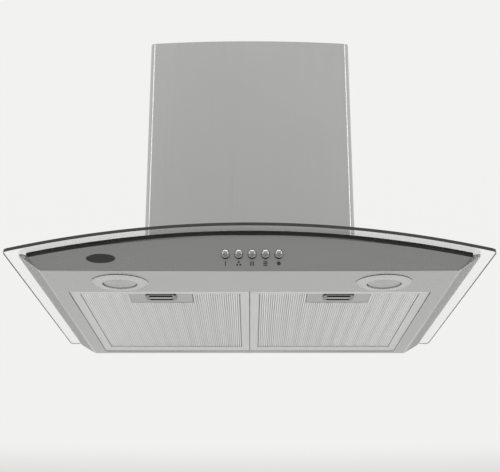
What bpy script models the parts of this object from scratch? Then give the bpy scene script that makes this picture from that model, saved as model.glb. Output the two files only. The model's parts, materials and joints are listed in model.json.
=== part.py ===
"""Wall-mounted chimney range hood with a bent glass canopy, modelled as separate working parts.

Metres, +Z up. The wall is the plane y = 0 and the hood stands out towards -Y. The origin is on the
wall, midway between the two keyholes of the hanging plate. "Rise" below means height above the
underside of the hood's body.
"""

import math

import bmesh
import bpy
from mathutils import Matrix, Vector

# ---- driving dimensions -----------------------------------------------------------------------
BOTTOM = -0.160             # underside of the body, below the hanging plate's centre
GAP = 0.0004                # clearance between parts that rest on each other
SHEET = 0.0010              # stainless sheet

GLASS_WIDTH = 0.600
GLASS_FRONT = -0.518
GLASS_BACK = -0.0010
GLASS_THICKNESS = 0.004
GLASS_RADIUS = 1.325        # bend of the underside, about an axis along Y
CROWN_RISE = 0.0477         # underside of the glass on the centre line
GLASS_NOTCH_HALF = 0.148    # notch in the rear edge, round the blower box
GLASS_NOTCH_FRONT = -0.214

BODY_HALF = 0.2603          # half width of the underside
BODY_FRONT = -0.4815
FLARE_HALF = 0.2840         # half width at the top of the side walls
CHEEK_FRONT = -0.5000       # front ends of the side walls, at the top
PANEL_TOP_HALF = 0.2756
PANEL_TOP_FRONT = -0.4910
FOLD = 0.0030               # radius of the fold round the underside
LIP_BAND = 0.0030           # upright band along the top of the walls
LIP_FILLET = 0.0025

COVER_HALF = 0.2787         # top cover, inside the walls and below the glass
COVER_FRONT = -0.4885
COVER_BACK = -0.0018
COVER_DROP = 0.0035
INTAKE_HALF = 0.122
INTAKE_FRONT = -0.188
INTAKE_BACK = -0.022
INTAKE_CORNER = 0.005

TRIM_FRONT = -0.5000        # strip between the panel's top edge and the glass
TRIM_BACK = -0.4914
TRIM_INSET = 0.0008
TRIM_DROP = 0.0033
TRIM_THICKNESS = 0.0030
SEAL_DROP = 0.0022
SEAL_THICKNESS = 0.0018

OPENING_HALF = 0.2408       # filter opening
OPENING_FRONT = -0.3868
OPENING_BACK = -0.0154
OPENING_FLANGE = 0.0070

FILTER_WIDTH = 0.2400
FILTER_FRONT = -0.3857
FILTER_BACK = -0.0180
FILTER_MEETING = 0.0        # x of the line where the two filters meet
FILTER_MEETING_GAP = 0.0006
FILTER_THICKNESS = 0.0080
FILTER_SEAT = 0.0003        # rise of its underside
TONGUE_OFFSET = 0.075       # rear tongues, either side of the filter's middle
TONGUE_HALF = 0.012
TONGUE_REACH = 0.0080       # behind the filter's rear edge
FILTER_RIM_SIDE = 0.0128
FILTER_RIM_FRONT = 0.0110
FILTER_RIM_BACK = 0.0251
FILTER_AXIS_INSET = 0.0035  # hinge line ahead of the filter's rear face

LATCH_PLATE_WIDTH = 0.085
LATCH_PLATE_DEPTH = 0.048
LATCH_PLATE_INSET = 0.0130  # behind the filter's front edge
LATCH_WIDTH = 0.041
LATCH_DEPTH = 0.027
LATCH_INSET = 0.0040        # behind the latch plate's front edge
LATCH_RIM = 0.0045          # beside its windows
LATCH_BAR = (0.0100, 0.0185)  # from the latch's front edge, between its two windows

FITTINGS_X = 0.0030         # lamps and buttons are centred this far to the right
LAMP_SPREAD = 0.170         # of each lamp from their common centre
LAMP_Y = -0.432
LAMP_BEZEL_RADIUS = 0.0365
LAMP_LENS_RADIUS = 0.0215
LAMP_HOLE_RADIUS = 0.0310

BUTTON_COUNT = 5
BUTTON_PITCH = 0.0166
BUTTON_RISE = 0.0192
BUTTON_RADIUS = 0.0054      # of the head
BUTTON_STEM_RADIUS = 0.0032
BUTTON_PROUD = 0.0125
BUTTON_DEPTH = 0.0145
BUTTON_BORE_RADIUS = 0.0038
SWITCH_FACE = 0.0038        # from the panel's surface at the buttons' height to the switch housing

CHIMNEY_HALF = 0.160
CHIMNEY_DEPTH = 0.230
CHIMNEY_BOW = 0.008
CHIMNEY_CORNER = 0.009
CHIMNEY_TOP_RISE = 0.460
CHIMNEY_SHEET = 0.0010
CHIMNEY_RETURN = 0.018
UPPER_CLEARANCE = 0.0016
UPPER_BOTTOM_RISE = 0.066
UPPER_TOP_RISE = 0.456

BLOWER_HALF = 0.138
BLOWER_FRONT = -0.206
BLOWER_BACK = -0.006
BLOWER_TOP_RISE = 0.282
SCROLL_AXIS_RISE = 0.150
SCROLL_RADIUS = 0.088
SCROLL_HALF = 0.066
WHEEL_RADIUS = 0.068
WHEEL_HALF = 0.056
BLADE_COUNT = 15
DUCT_RADIUS = 0.075
COLLAR_HEIGHT = 0.060
FLAP_PIN_RISE = 0.0090      # above the blower box
FLAP_PIN_OFFSET = 0.0045    # of each flap's pin from the duct's centre line

PLATE_HALF = 0.125
PLATE_HEIGHT = 0.090
KEYHOLE_SPACING = 0.180

PANEL_LEAN = math.atan2(BODY_FRONT - PANEL_TOP_FRONT - 0.0013, CROWN_RISE - LIP_BAND - LIP_FILLET)

PARTS = None
CUTTERS = None


# ---- small helpers ------------------------------------------------------------------------------
def rise(height):
    """World z of a height above the body's underside."""
    return BOTTOM + height


def glass_rise(x):
    """Rise of the glass's underside at x."""
    return CROWN_RISE - (GLASS_RADIUS - math.sqrt(GLASS_RADIUS**2 - x**2))


def make_material(name, colour, roughness, metallic=0.0, alpha=1.0):
    material = bpy.data.materials.new(name)
    material.use_nodes = True
    shader = material.node_tree.nodes["Principled BSDF"]
    shader.inputs["Base Color"].default_value = (*colour, 1.0)
    shader.inputs["Roughness"].default_value = roughness
    shader.inputs["Metallic"].default_value = metallic
    shader.inputs["Alpha"].default_value = alpha
    return material


def add_object(name, mesh, material=None, frame=None, cutter=False):
    obj = bpy.data.objects.new(name, mesh)
    (CUTTERS if cutter else PARTS).objects.link(obj)
    if frame is not None:
        obj.matrix_world = frame
    if cutter:
        obj.hide_render = True
        obj.display_type = "WIRE"
    else:
        mesh.materials.clear()
        mesh.materials.append(material)
        mesh.shade_smooth()
        mesh.set_sharp_from_angle(angle=math.radians(35))
    return obj


def mesh_from(bm, name):
    mesh = bpy.data.meshes.new(name)
    bm.to_mesh(mesh)
    bm.free()
    return mesh


def box(name, low, high, material=None, frame=None, cutter=False):
    bm = bmesh.new()
    bmesh.ops.create_cube(bm, size=1.0)
    size = Vector(high) - Vector(low)
    centre = (Vector(high) + Vector(low)) / 2
    bmesh.ops.scale(bm, vec=size, verts=bm.verts)
    bmesh.ops.translate(bm, vec=centre, verts=bm.verts)
    return add_object(name, mesh_from(bm, name), material, frame, cutter)


def cylinder(name, radius, low, high, material=None, frame=None, segments=24, cutter=False):
    """Cylinder along its own Z, from low to high."""
    bm = bmesh.new()
    bmesh.ops.create_cone(
        bm, cap_ends=True, segments=segments, radius1=radius, radius2=radius, depth=high - low
    )
    bmesh.ops.translate(bm, vec=(0, 0, (low + high) / 2), verts=bm.verts)
    return add_object(name, mesh_from(bm, name), material, frame, cutter)


def prism(name, outlines, low, high, material=None, frame=None, cutter=False):
    """Flat outlines with holes, given as (x, y) loops, filled and extruded from low to high."""
    curve = bpy.data.curves.new(name, "CURVE")
    curve.dimensions = "2D"
    curve.fill_mode = "BOTH"
    curve.extrude = (high - low) / 2
    for points in outlines:
        spline = curve.splines.new("POLY")
        spline.points.add(len(points) - 1)
        for point, (x, y) in zip(spline.points, points):
            point.co = (x, y, 0, 1)
        spline.use_cyclic_u = True
    guide = bpy.data.objects.new(name + "_outline", curve)
    PARTS.objects.link(guide)
    mesh = bpy.data.meshes.new_from_object(guide.evaluated_get(bpy.context.evaluated_depsgraph_get()))
    bpy.data.objects.remove(guide)
    bm = bmesh.new()
    bm.from_mesh(mesh)
    bmesh.ops.remove_doubles(bm, verts=bm.verts, dist=1e-6)
    bmesh.ops.translate(bm, vec=(0, 0, (low + high) / 2), verts=bm.verts)
    bmesh.ops.recalc_face_normals(bm, faces=bm.faces)
    bm.to_mesh(mesh)
    bm.free()
    return add_object(name, mesh, material, frame, cutter)


def turned(name, profile, material=None, frame=None, segments=24, ring=False, cutter=False):
    """Screw a profile of (radius, z) points, outer side first and downwards, about its own Z."""
    bm = bmesh.new()
    verts = [bm.verts.new((radius, 0, z)) for radius, z in profile]
    for first, second in zip(verts, verts[1:] + (verts[:1] if ring else [])):
        bm.edges.new((first, second))
    obj = add_object(name, mesh_from(bm, name), material, frame, cutter)
    screw = obj.modifiers.new("Screw", "SCREW")
    screw.steps = segments
    screw.render_steps = segments
    screw.use_merge_vertices = True
    screw.merge_threshold = 0.0001
    screw.use_smooth_shade = True
    return obj


def boolean(obj, cutter, operation="DIFFERENCE"):
    modifier = obj.modifiers.new(cutter.name, "BOOLEAN")
    modifier.operation = operation
    modifier.object = cutter
    return modifier


def bevel(obj, width, segments=2, angle=50):
    modifier = obj.modifiers.new("Bevel", "BEVEL")
    modifier.width = width
    modifier.segments = segments
    modifier.limit_method = "ANGLE"
    modifier.angle_limit = math.radians(angle)
    return modifier


def rectangle(x0, y0, x1, y1):
    return [(x0, y0), (x1, y0), (x1, y1), (x0, y1)]


def arc(cx, cy, radius, start, end, steps):
    angles = [math.radians(start + (end - start) * i / steps) for i in range(steps + 1)]
    return [(cx + radius * math.cos(a), cy + radius * math.sin(a)) for a in angles]


def circle(cx, cy, radius, steps=32):
    return arc(cx, cy, radius, 0, 360, steps)[:-1]


def rounded(x0, y0, x1, y1, radius, steps=4):
    """Rounded rectangle, counter-clockwise."""
    return (
        arc(x0 + radius, y0 + radius, radius, 180, 270, steps)
        + arc(x1 - radius, y0 + radius, radius, 270, 360, steps)
        + arc(x1 - radius, y1 - radius, radius, 0, 90, steps)
        + arc(x0 + radius, y1 - radius, radius, 90, 180, steps)
    )


def at(x, y, z):
    return Matrix.Translation((x, y, z))


def upright(y):
    """Frame whose XY plane is the world's XZ plane, with its Z along -Y from the given y."""
    return Matrix.Translation((0, y, 0)) @ Matrix.Rotation(math.radians(90), 4, "X")


def bent_sheet(name, x0, x1, front, back, drop, thickness, material=None, cutter=False, steps=32):
    """Sheet concentric with the glass, its underside a drop below the glass's underside."""
    centre = BOTTOM + CROWN_RISE - GLASS_RADIUS
    lower = GLASS_RADIUS - drop
    upper = lower + thickness

    def edge(radius):
        xs = [x0 + (x1 - x0) * i / steps for i in range(steps + 1)]
        return [(x, centre + math.sqrt(radius**2 - x**2)) for x in xs]

    outline = edge(lower) + edge(upper)[::-1]
    return prism(name, [outline], -back, -front, material, upright(0), cutter)


# ---- canopy body ------------------------------------------------------------------------------------
def ring_loop(half, front, back, radius, front_half=None, front_line=None, steps=14):
    """Loop round the body, anticlockwise from the front left, with rounded corners."""
    flat_half = half - radius - 0.0010
    front_half = front_half or flat_half
    front_line = front_line or front
    line = [-1 + 2 * i / steps for i in range(steps + 1)]
    loop = [(front_half * k, front_line) for k in line]
    loop += arc(half - radius, front + radius, radius, 270, 360, 4)
    loop += arc(half - radius, back - radius, radius, 0, 90, 2)
    loop += [(flat_half * k, back) for k in line[::-1]]
    loop += arc(-half + radius, back - radius, radius, 90, 180, 2)
    loop += arc(-half + radius, front + radius, radius, 180, 270, 4)
    return loop


def shell_profile(top, bottom, opening):
    """Points down the wall, round the fold, across the underside and up the opening's flange."""
    crest = Vector((*top, rise(glass_rise(top[0]) - GAP)))
    foot = Vector((*bottom, BOTTOM))
    band = crest - Vector((0, 0, LIP_BAND))
    lean = Vector((*bottom, 0)) - Vector((*top, 0))
    neck = band - Vector((0, 0, LIP_FILLET))
    neck += lean.normalized() * 0.0013
    half_neck = band.lerp(neck, 0.5) + lean.normalized() * 0.00025
    wall = (neck - foot).normalized()
    edge = Vector((*opening, BOTTOM))
    deck = (edge - foot).normalized()
    start = foot + wall * FOLD
    end = foot + deck * FOLD
    fold = [start.lerp(foot, t).lerp(foot.lerp(end, t), t) for t in (0, 0.33, 0.67, 1)]
    return [crest, band, half_neck, neck, *fold, edge, edge + Vector((0, 0, OPENING_FLANGE))]


def canopy_shell(steel, lamp_bores, button_bores):
    """Folded sheet: leaning walls and the underside, open in the middle for the filters."""
    corner = 0.002
    tops = ring_loop(FLARE_HALF, CHEEK_FRONT, 0.0, corner, PANEL_TOP_HALF, PANEL_TOP_FRONT)
    bottoms = ring_loop(BODY_HALF, BODY_FRONT, 0.0, corner)
    openings = ring_loop(OPENING_HALF, OPENING_FRONT, OPENING_BACK, corner)
    bm = bmesh.new()
    columns = [
        [bm.verts.new(point) for point in shell_profile(*station)]
        for station in zip(tops, bottoms, openings)
    ]
    for left, right in zip(columns, columns[1:] + columns[:1]):
        for i in range(len(left) - 1):
            bm.faces.new((left[i], left[i + 1], right[i + 1], right[i]))
    shell = add_object("canopy_shell", mesh_from(bm, "canopy_shell"), steel)
    solidify = shell.modifiers.new("Sheet", "SOLIDIFY")
    solidify.thickness = SHEET
    solidify.offset = -1
    for cutter in (*lamp_bores, *button_bores):
        boolean(shell, cutter)
    return shell


def canopy_cover(galvanised):
    """Sheet that closes the body under the glass, with the blower's intake in it."""
    cover = bent_sheet(
        "top_cover", -COVER_HALF, COVER_HALF, COVER_FRONT, COVER_BACK, COVER_DROP, SHEET, galvanised, steps=20
    )
    hole = rounded(-INTAKE_HALF, INTAKE_FRONT, INTAKE_HALF, INTAKE_BACK, INTAKE_CORNER)
    boolean(cover, prism("intake_cutter", [hole], rise(0), rise(0.1), cutter=True))


def glass_parts(glass, rubber, trim_black):
    """Bent pane with a notch in its rear edge, the trim strip under its front and its seals."""
    half = GLASS_WIDTH / 2
    sheet = bent_sheet("glass_canopy", -half, half, GLASS_FRONT, GLASS_BACK, 0, GLASS_THICKNESS, glass)
    shave = 0.00002             # so that the plan's straight edges cut just inside the sheet's own
    half -= shave
    front, back = GLASS_FRONT + shave, GLASS_BACK - shave
    notch, notch_front = GLASS_NOTCH_HALF, GLASS_NOTCH_FRONT
    small, inner, large = 0.006, 0.012, 0.020       # corner radii: front, notch, rear
    plan = (
        arc(-half + small, front + small, small, 180, 270, 4)
        + arc(half - small, front + small, small, 270, 360, 4)
        + arc(half - large, back - large, large, 0, 90, 6)
        + [(notch, back)]
        + arc(notch - inner, notch_front + inner, inner, 0, -90, 4)
        + arc(-notch + inner, notch_front + inner, inner, 270, 180, 4)
        + [(-notch, back)]
        + arc(-half + large, back - large, large, 90, 180, 6)
    )
    outline = prism("glass_plan_cutter", [plan], rise(-0.01), rise(0.07), cutter=True)
    boolean(sheet, outline, "INTERSECT")
    reach = PANEL_TOP_HALF - TRIM_INSET
    bent_sheet(
        "glass_trim", -reach, reach, TRIM_FRONT, TRIM_BACK, TRIM_DROP, TRIM_THICKNESS, trim_black, steps=24
    )
    seals = (
        ("left", -0.276, -0.262, -0.470, -0.020, 2),
        ("right", 0.262, 0.276, -0.470, -0.020, 2),
        ("front", -0.258, 0.258, -0.486, -0.474, 12),
    )
    for side, left, right, front, back, steps in seals:
        bent_sheet(
            f"glass_seal_{side}", left, right, front, back, SEAL_DROP, SEAL_THICKNESS, rubber, steps=steps
        )


# ---- lamps ----------------------------------------------------------------------------------------
def lamp_frame(sign):
    return at(FITTINGS_X + sign * LAMP_SPREAD, LAMP_Y, BOTTOM)


def lamp(side, sign, chrome, lens, white):
    frame = lamp_frame(sign)
    ring = [
        (LAMP_HOLE_RADIUS - 0.0008, 0.0090),
        (LAMP_HOLE_RADIUS - 0.0008, -0.0004),
        (LAMP_BEZEL_RADIUS, -0.0004),
        (LAMP_BEZEL_RADIUS, -0.0014),
        (LAMP_BEZEL_RADIUS - 0.0020, -0.0030),
        (LAMP_BEZEL_RADIUS - 0.0050, -0.0035),
        (LAMP_LENS_RADIUS + 0.0016, -0.0033),
        (LAMP_LENS_RADIUS + 0.0006, -0.0027),
        (LAMP_LENS_RADIUS + 0.0006, 0.0016),
        (LAMP_HOLE_RADIUS - 0.0030, 0.0016),
        (LAMP_HOLE_RADIUS - 0.0030, 0.0090),
    ]
    turned(f"lamp_bezel_{side}", ring, chrome, frame, ring=True)
    glass = [
        (0, 0.0014),
        (LAMP_LENS_RADIUS, 0.0014),
        (LAMP_LENS_RADIUS, -0.0006),
        (LAMP_LENS_RADIUS - 0.0012, -0.0011),
        (0, -0.0013),
    ]
    turned(f"lamp_lens_{side}", glass, lens, frame)
    can = [
        (0, 0.0240),
        (0.0220, 0.0240),
        (0.0272, 0.0190),
        (0.0272, 0.0018),
        (0.0235, 0.0018),
        (0.0235, 0.0160),
        (0.0190, 0.0215),
        (0, 0.0215),
    ]
    turned(f"lamp_housing_{side}", can, white, frame)
    board = [
        (0, 0.0200),
        (0.0160, 0.0200),
        (0.0160, 0.0184),
        (0.0080, 0.0184),
        (0.0070, 0.0170),
        (0, 0.0170),
    ]
    turned(f"lamp_led_{side}", board, lens, frame)


# ---- controls ---------------------------------------------------------------------------------------
def control_frame(x):
    """On the front panel at the buttons' height, with Z out along their level axis."""
    y = BODY_FRONT - math.tan(PANEL_LEAN) * BUTTON_RISE
    return at(x, y, rise(BUTTON_RISE)) @ Matrix.Rotation(math.radians(90), 4, "X")


def button_x(index):
    return FITTINGS_X + (index - (BUTTON_COUNT - 1) / 2) * BUTTON_PITCH


def control_parts(chrome, black, galvanised, button_bores):
    frame = control_frame(FITTINGS_X)
    housing = box("switch_housing", (-0.046, -0.0090, -0.0270), (0.046, 0.0090, -SWITCH_FACE), black, frame)
    for bore in button_bores:
        boolean(housing, bore)
    collar = [rectangle(-0.052, -0.0118, 0.052, 0.0118), rectangle(-0.0464, -0.0094, 0.0464, 0.0094)]
    bracket = prism("switch_bracket", collar, -0.0140, -0.0120, galvanised, frame)
    for sign in (-1, 1):
        near, far = sorted((sign * 0.0470, sign * 0.0520))
        foot = box(f"foot_{sign}", (near, -0.006, -0.0132), (far, 0.006, -0.0030), None, frame, True)
        boolean(bracket, foot, "UNION")
    profile = [
        (0, BUTTON_PROUD),
        (BUTTON_RADIUS * 0.80, BUTTON_PROUD - 0.0005),
        (BUTTON_RADIUS, BUTTON_PROUD - 0.0018),
        (BUTTON_RADIUS * 0.94, BUTTON_PROUD - 0.0038),
        (BUTTON_STEM_RADIUS, 0.0042),
        (BUTTON_STEM_RADIUS, -BUTTON_DEPTH),
        (0, -BUTTON_DEPTH),
    ]
    for index in range(BUTTON_COUNT):
        turned(f"button_{index + 1}", profile, chrome, control_frame(button_x(index)), segments=16)


# ---- grease filters -----------------------------------------------------------------------------------
def filter_span(sign):
    """Left and right edges of one filter."""
    near = FILTER_MEETING + sign * FILTER_MEETING_GAP / 2
    return sorted((near, near + sign * FILTER_WIDTH))


def grease_filter(side, sign, aluminium, mesh_material, plate_material, latch_material):
    """Framed mesh with a sprung latch in its front edge, made about its hinge line."""
    left, right = filter_span(sign)
    middle = (left + right) / 2
    low, high = rise(FILTER_SEAT), rise(FILTER_SEAT + FILTER_THICKNESS)
    plate_front = FILTER_FRONT + LATCH_PLATE_INSET
    plate_back = plate_front + LATCH_PLATE_DEPTH
    plate_left, plate_right = middle - LATCH_PLATE_WIDTH / 2, middle + LATCH_PLATE_WIDTH / 2
    axis = Vector((middle, FILTER_BACK - FILTER_AXIS_INSET, (low + high) / 2))
    origin = Matrix.Translation(axis)

    def local(loop):
        return [(x - axis.x, y - axis.y) for x, y in loop]

    low, high = low - axis.z, high - axis.z
    window = [
        (left + FILTER_RIM_SIDE, FILTER_FRONT + FILTER_RIM_FRONT),
        (right - FILTER_RIM_SIDE, FILTER_FRONT + FILTER_RIM_FRONT),
        (right - FILTER_RIM_SIDE, FILTER_BACK - FILTER_RIM_BACK),
        (left + FILTER_RIM_SIDE, FILTER_BACK - FILTER_RIM_BACK),
    ]
    frame = prism(
        f"filter_frame_{side}",
        [local(rounded(left, FILTER_FRONT, right, FILTER_BACK, 0.003, 3)), local(window)],
        low, high, aluminium, origin,
    )
    for offset in (-TONGUE_OFFSET, TONGUE_OFFSET):
        tongue = box(
            f"tongue_{side}_{offset}",
            (offset - TONGUE_HALF, FILTER_BACK - TONGUE_HALF - axis.y, high - 0.0010),
            (offset + TONGUE_HALF, FILTER_BACK + TONGUE_REACH - axis.y, high + 0.0014),
            None, origin, True,
        )
        boolean(frame, tongue, "UNION")
    (x0, y0), _, (x1, y1), _ = window
    screen = rectangle(x0 + GAP, y0 + GAP, x1 - GAP, y1 - GAP)
    pocket = rectangle(plate_left - GAP, plate_front - GAP, plate_right + GAP, plate_back + GAP)
    prism(
        f"filter_mesh_{side}", [local(screen), local(pocket)],
        low + 0.0012, high - 0.0008, mesh_material, origin,
    )
    latch_front = plate_front + LATCH_INSET
    latch_back = latch_front + LATCH_DEPTH
    bar_front, bar_back = (latch_front + edge for edge in LATCH_BAR)
    latch_half = LATCH_WIDTH / 2
    window_half = latch_half - LATCH_RIM

    def across(half, front, back, radius, steps=3):
        return local(rounded(middle - half, front, middle + half, back, radius, steps))

    slot = across(window_half, latch_front + 0.0015, latch_back - 0.0012, 0.003, 4)
    prism(
        f"latch_plate_{side}",
        [local(rectangle(plate_left, plate_front, plate_right, plate_back)), slot],
        low + 0.0022, low + 0.0050, plate_material, origin,
    )
    outlines = [
        across(latch_half, latch_front, latch_back, 0.0055, 5),
        across(window_half, latch_front + 0.0020, bar_front, 0.003),
        across(window_half, bar_back, latch_back - 0.0020, 0.003),
    ]
    latch = prism(f"latch_{side}", outlines, low, low + 0.0018, latch_material, origin)
    stem = box(
        f"stem_{side}", (-0.008, bar_front + 0.0005 - axis.y, low + 0.0010),
        (0.008, bar_front + 0.0065 - axis.y, high + 0.0020), None, origin, True,
    )
    bolt = box(
        f"bolt_{side}", (-0.009, FILTER_FRONT - 0.0004 - axis.y, high + 0.0004),
        (0.009, bar_front + 0.0070 - axis.y, high + 0.0024), None, origin, True,
    )
    for piece in (stem, bolt):
        boolean(latch, piece, "UNION")


# ---- blower ------------------------------------------------------------------------------------------
def blower_parts(galvanised, plastic, motor_black, steel, case):
    """Blower box over the intake, with the scroll, wheel and motor inside and the outlet on top."""
    top = rise(BLOWER_TOP_RISE)
    middle = (BLOWER_FRONT + BLOWER_BACK) / 2
    casing = box(
        "blower_box", (-BLOWER_HALF, BLOWER_FRONT, rise(0.02)), (BLOWER_HALF, BLOWER_BACK, top), galvanised
    )
    wall = 0.0012
    hollow = box(
        "blower_hollow", (-BLOWER_HALF + wall, BLOWER_FRONT + wall, rise(0.01)),
        (BLOWER_HALF - wall, BLOWER_BACK - wall, top - wall), cutter=True,
    )
    under = bent_sheet("under_box_cutter", -0.2, 0.2, -0.3, 0.05, 0.06, 0.0580, cutter=True, steps=24)
    outlet = cylinder(
        "outlet_bore", DUCT_RADIUS - 0.004, top - 0.02, top + 0.02,
        frame=at(0, middle, 0), segments=28, cutter=True,
    )
    for cutter in (hollow, under, outlet):
        boolean(casing, cutter)

    scroll_frame = at(0, middle, rise(SCROLL_AXIS_RISE)) @ Matrix.Rotation(math.radians(90), 4, "Y")
    throat = 0.064
    neck_top = BLOWER_TOP_RISE - SCROLL_AXIS_RISE - wall - GAP

    def volute(radius, spout_half, spout_top):
        """Round case with a straight spout; local -X is world up and local Y is world Y."""
        steps = 22
        start = math.asin(spout_half / radius)
        angles = [math.pi + start + (2 * math.pi - 2 * start) * i / steps for i in range(steps + 1)]
        loop = [(radius * math.cos(a), radius * math.sin(a)) for a in angles]
        return loop + [(-spout_top, spout_half), (-spout_top, -spout_half)]

    scroll = prism(
        "scroll_housing", [volute(SCROLL_RADIUS, throat, neck_top)],
        -SCROLL_HALF, SCROLL_HALF, plastic, scroll_frame,
    )
    skin = 0.002
    cavity = prism(
        "scroll_hollow", [volute(SCROLL_RADIUS - skin, throat - skin, neck_top + 0.01)],
        -SCROLL_HALF + skin, SCROLL_HALF - skin, None, scroll_frame, True,
    )
    eyes = cylinder("scroll_eyes", 0.056, -0.1, 0.1, frame=scroll_frame, segments=24, cutter=True)
    for cutter in (cavity, eyes):
        boolean(scroll, cutter)

    rim = 0.0065
    drum = [
        (WHEEL_RADIUS, WHEEL_HALF),
        (WHEEL_RADIUS, -WHEEL_HALF),
        (WHEEL_RADIUS - 0.010, -WHEEL_HALF),
        (WHEEL_RADIUS - 0.010, -0.0015),
        (0.0042, -0.0015),
        (0.0042, 0.0015),
        (WHEEL_RADIUS - 0.010, 0.0015),
        (WHEEL_RADIUS - 0.010, WHEEL_HALF),
    ]
    wheel = turned("impeller", drum, plastic, scroll_frame, segments=30, ring=True)
    for half_name, low, high in (("a", 0.0045, WHEEL_HALF - rim), ("b", -WHEEL_HALF + rim, -0.0045)):
        bm = bmesh.new()
        for blade in range(BLADE_COUNT):
            slot = bmesh.ops.create_cube(bm, size=1.0)["verts"]
            bmesh.ops.scale(bm, vec=(0.030, 0.0215, high - low), verts=slot)
            bmesh.ops.translate(bm, vec=(WHEEL_RADIUS - 0.004, 0, (low + high) / 2), verts=slot)
            turn = Matrix.Rotation(2 * math.pi * blade / BLADE_COUNT, 3, "Z")
            bmesh.ops.rotate(bm, matrix=turn, verts=slot)
        slots = add_object(f"blade_gaps_{half_name}", mesh_from(bm, "blade_gaps"), None, scroll_frame, True)
        boolean(wheel, slots)
    shaft = [
        (0, 0.0350),
        (0.0034, 0.0350),
        (0.0038, 0.0345),
        (0.0038, -0.0100),
        (0.0030, -0.0108),
        (0, -0.0108),
    ]
    turned("motor_shaft", shaft, steel, scroll_frame, segments=20)

    can = [
        (0, 0.0920),
        (0.0180, 0.0920),
        (0.0180, 0.0860),
        (0.0400, 0.0840),
        (0.0430, 0.0800),
        (0.0430, 0.0380),
        (0.0400, 0.0345),
        (0.0160, 0.0335),
        (0.0160, 0.0300),
        (0.0045, 0.0300),
        (0.0045, 0.0360),
        (0, 0.0360),
    ]
    turned("fan_motor", can, motor_black, scroll_frame, segments=24)

    rings = [circle(0, 0, 0.0640, 24), circle(0, 0, 0.0436, 24)]
    arms = prism("motor_bracket", rings, 0.0664, 0.0690, galvanised, scroll_frame)
    for turn in (30, 150, 270):
        bore = cylinder(
            f"bracket_gap_{turn}", 0.0135, 0.05, 0.08, segments=20, cutter=True,
            frame=scroll_frame @ Matrix.Rotation(math.radians(turn + 60), 4, "Z") @ at(0.0538, 0, 0),
        )
        bore.scale = (0.45, 1.35, 1.0)
        boolean(arms, bore)

    capacitor = [(0, 0.0520), (0.0135, 0.0520), (0.0150, 0.0505), (0.0150, 0.0010), (0.0140, 0), (0, 0)]
    turned("start_capacitor", capacitor, case, at(-0.108, -0.168, top + GAP), segments=20)

    collar_frame = at(0, middle, top)
    collar = [
        (DUCT_RADIUS, COLLAR_HEIGHT),
        (DUCT_RADIUS, GAP),
        (DUCT_RADIUS - 0.0050, GAP),
        (DUCT_RADIUS - 0.0050, 0.0050),
        (DUCT_RADIUS - 0.0018, 0.0055),
        (DUCT_RADIUS - 0.0018, COLLAR_HEIGHT),
    ]
    duct = turned("outlet_collar", collar, plastic, collar_frame, segments=32, ring=True)
    rim_in, rim_out = DUCT_RADIUS + GAP, DUCT_RADIUS + 0.012
    flange = [circle(0, 0, rim_out), circle(0, 0, rim_in)]
    prism("collar_flange", flange, GAP, GAP + 0.0014, galvanised, collar_frame)
    for name, sign in (("front", -1), ("back", 1)):
        damper_flap(name, sign, at(0, middle, top + FLAP_PIN_RISE), duct, steel, motor_black)


def damper_flap(name, sign, centre, duct, steel, black):
    """Half-round non-return flap on its own pin, beside the duct's centre line."""
    pin_frame = centre @ at(0, sign * FLAP_PIN_OFFSET, 0) @ Matrix.Rotation(math.radians(90), 4, "Y")
    for end in (-1, 1):
        near, far = sorted((end * 0.0695, end * 0.0738))
        boss = cylinder(f"pin_boss_{name}_{end}", 0.0032, near, far, None, pin_frame, 16, True)
        boolean(duct, boss, "UNION")
    cylinder(f"damper_pin_{name}", 0.0012, -0.0690, 0.0690, steel, pin_frame, 16)
    tip = 0.0685
    edge = 0.0008
    shoulder = 0.0120
    curve = arc(0, 0, DUCT_RADIUS - 0.0030, 14, 166, 16)
    half_disc = [(tip, edge), (tip, shoulder), *curve, (-tip, shoulder), (-tip, edge)]
    half_disc = [(x, sign * y) for x, y in half_disc]
    flap = prism(f"damper_flap_{name}", [half_disc], -0.0030, -0.0018, black, centre)
    inner, outer = sorted((sign * 0.0022, sign * 0.0068))
    for number, (low, high) in enumerate(((-0.060, -0.030), (0.030, 0.060))):
        corners = (low, inner, -0.0029), (high, outer, 0.0023)
        lug = box(f"flap_lug_{name}_{number}", *corners, None, centre, True)
        boolean(flap, lug, "UNION")
    boolean(flap, cylinder(f"pin_clear_{name}", 0.0016, -0.08, 0.08, None, pin_frame, 16, True))


def electrics(plastic, black, galvanised):
    """Terminal box with its cable gland, on a folded stand above the blower box."""
    box_low = (0.086, -0.200, rise(0.300))
    box_high = (0.132, -0.130, rise(0.328))
    lid = box("terminal_box", box_low, box_high, black)
    bevel(lid, 0.003, 2)
    gland = [
        (0, 0.0180),
        (0.0050, 0.0180),
        (0.0070, 0.0160),
        (0.0070, 0.0060),
        (0.0095, 0.0060),
        (0.0095, GAP),
        (0, GAP),
    ]
    x = (box_low[0] + box_high[0]) / 2
    y = (box_low[1] + box_high[1]) / 2
    turned("cable_gland", gland, plastic, at(x, y, box_high[2]), segments=24)
    foot, seat, fold = rise(BLOWER_TOP_RISE) + GAP, rise(0.300) - GAP, 0.0015
    left, right = 0.090, 0.128
    channel = [
        (left, foot),
        (left + fold, foot),
        (left + fold, seat - fold),
        (right - fold, seat - fold),
        (right - fold, foot),
        (right, foot),
        (right, seat),
        (left, seat),
    ]
    prism("terminal_stand", [channel], 0.138, 0.192, galvanised, upright(0))


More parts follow.
